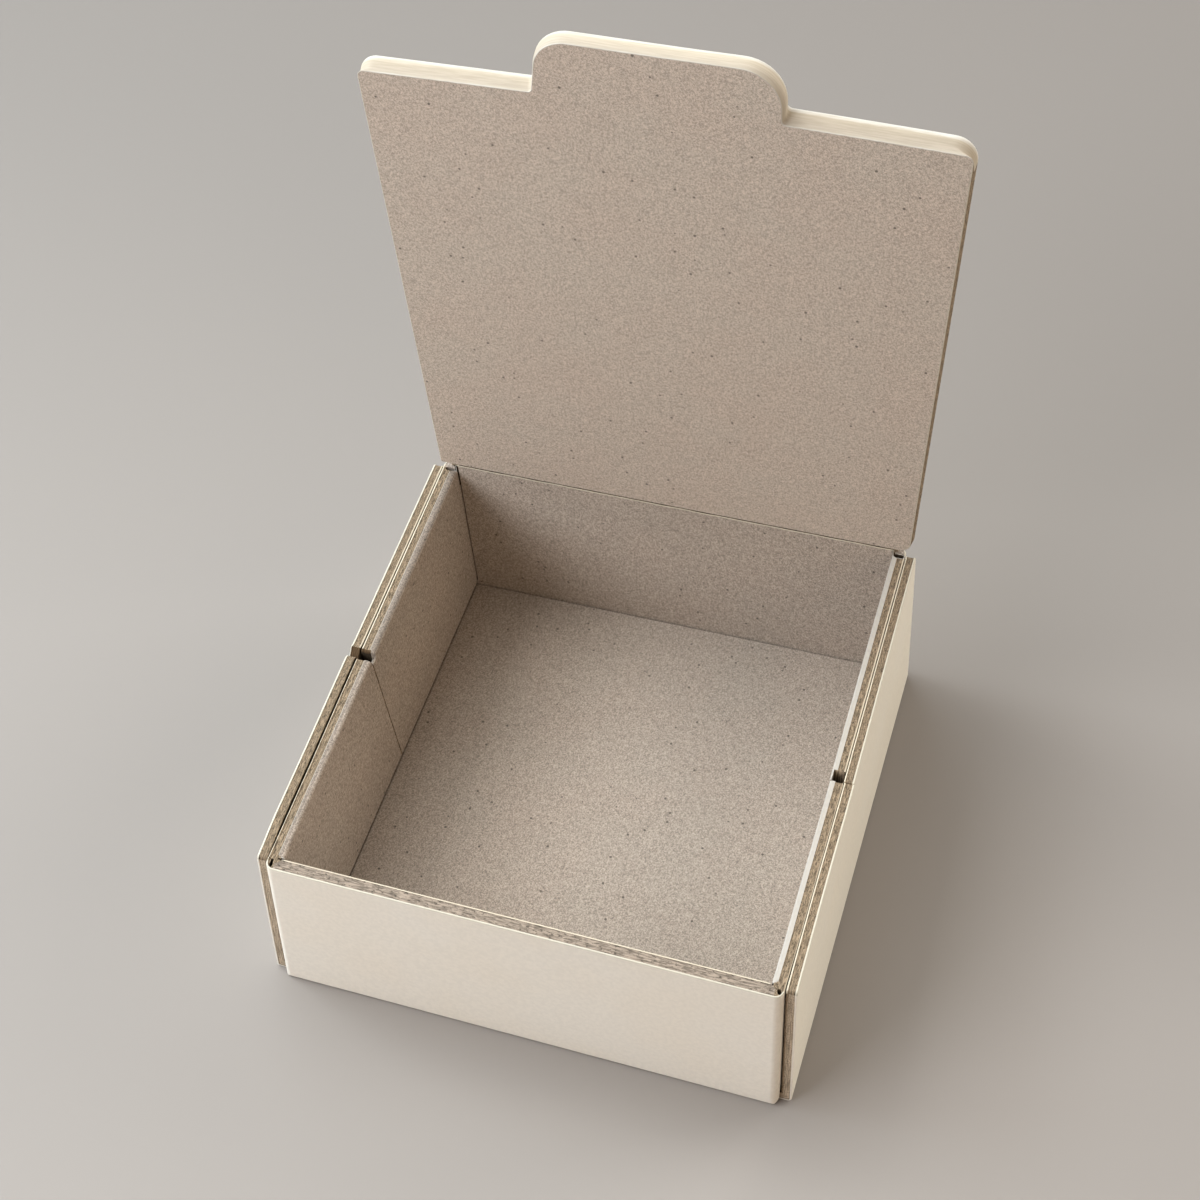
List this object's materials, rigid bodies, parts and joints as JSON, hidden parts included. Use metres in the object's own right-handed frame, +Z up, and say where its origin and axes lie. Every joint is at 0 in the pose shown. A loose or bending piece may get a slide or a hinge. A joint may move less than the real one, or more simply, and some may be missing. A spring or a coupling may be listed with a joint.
{
  "type": "folding gift box",
  "caption": "Shallow square gift box folded from one sheet of thick grey board, with tucked corner tabs and a hinged lid that ends in a rounded pull tongue.",
  "frame": {"origin": "middle of the tray's underside, on the surface it stands on", "axes": "+X to the right of someone facing the open front, +Y to the crease of the lid at the back, +Z up"},
  "size_m": [0.092, 0.0944, 0.137],
  "materials": {
    "tray_board": "matt grey board inside, smooth cream liner outside, raw flecked edges",
    "lid_board": "matt grey board inside, smooth cream liner outside and round the free edge"
  },
  "bodies": {
    "tray": {"tray": "tray_board"},
    "lid": {"lid": "lid_board"}
  },
  "joints": [
    {"name": "lid_hinge", "type": "hinge", "parent": "tray", "child": "lid", "pos_m": [0, 0.04495, 0.0352], "axis": [-1, 0, 0], "range_deg": [-85.1, 35.5]}
  ]
}
